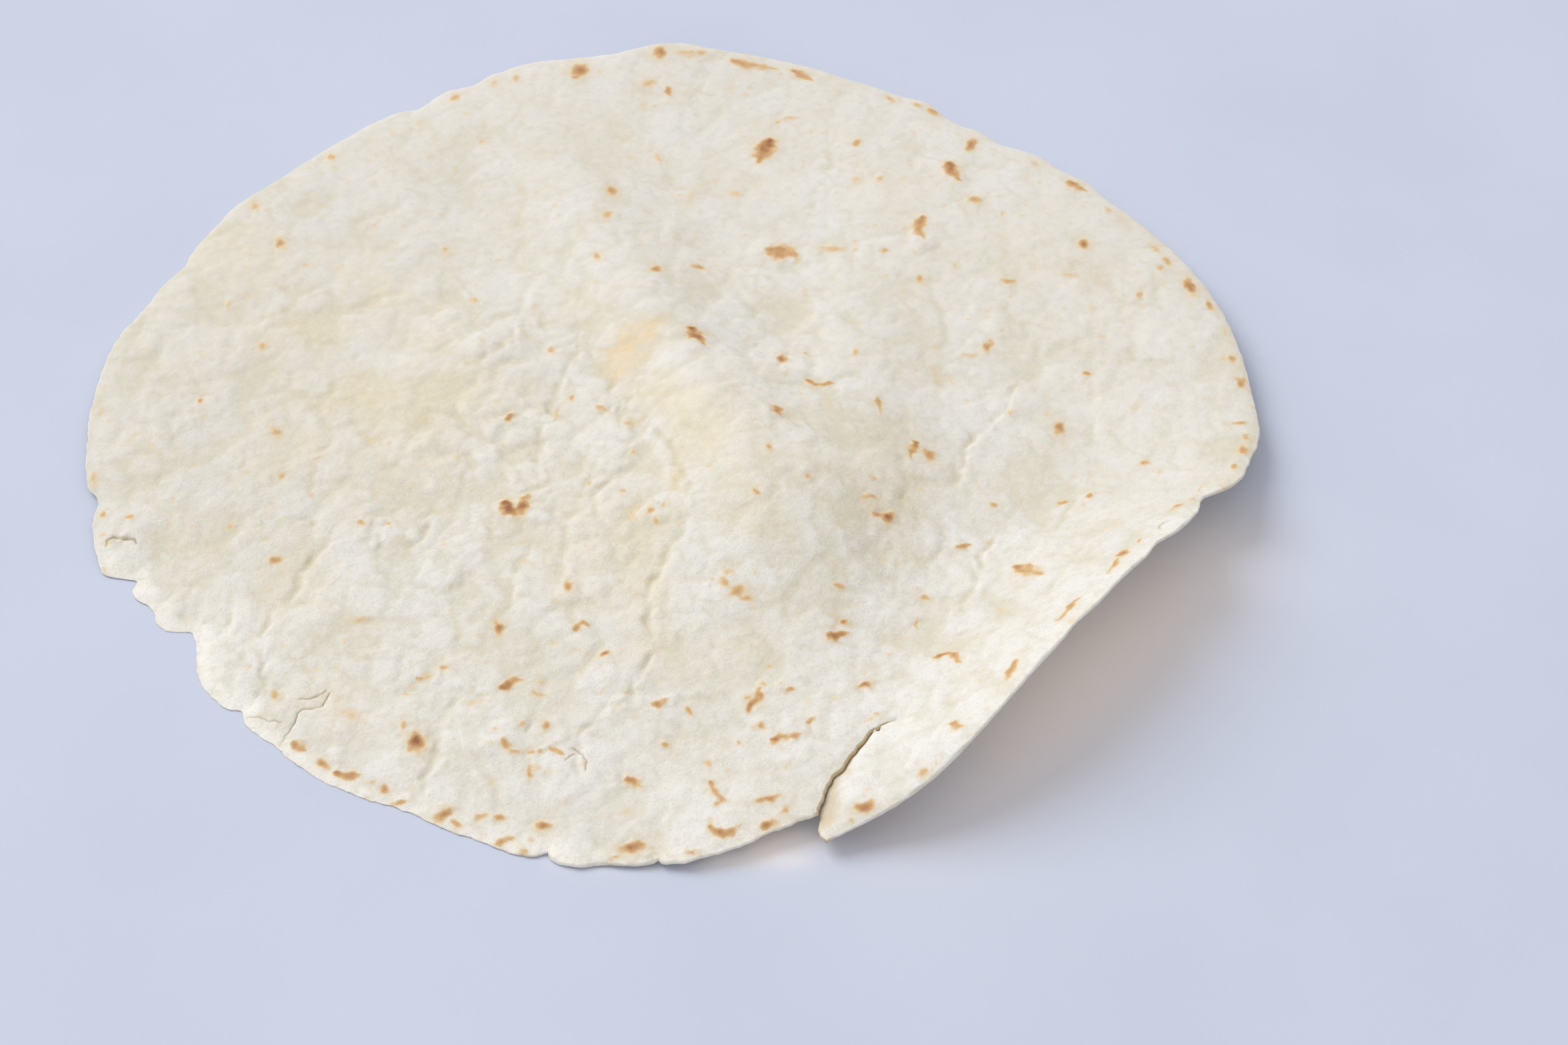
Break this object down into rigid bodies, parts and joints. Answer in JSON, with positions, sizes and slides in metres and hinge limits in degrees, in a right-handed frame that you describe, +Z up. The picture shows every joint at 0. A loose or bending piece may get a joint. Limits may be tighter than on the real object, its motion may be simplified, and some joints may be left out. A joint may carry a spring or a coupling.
{
  "type": "flour tortilla",
  "caption": "Single loose soft flour tortilla, a thin round flatbread with a soft crease ridge, one curled-up edge, a short tear and toast marks.",
  "frame": {"origin": "under the middle of the part's box, at table level", "axes": "+Z up, out of the toasted top face; -Y towards the front rim with the tear; +X towards the right, where the rim curls up at the front"},
  "size_m": [0.1984, 0.2024, 0.0196],
  "materials": {
    "flatbread": "matte"
  },
  "bodies": {
    "root": {"tortilla": "flatbread"}
  },
  "joints": []
}
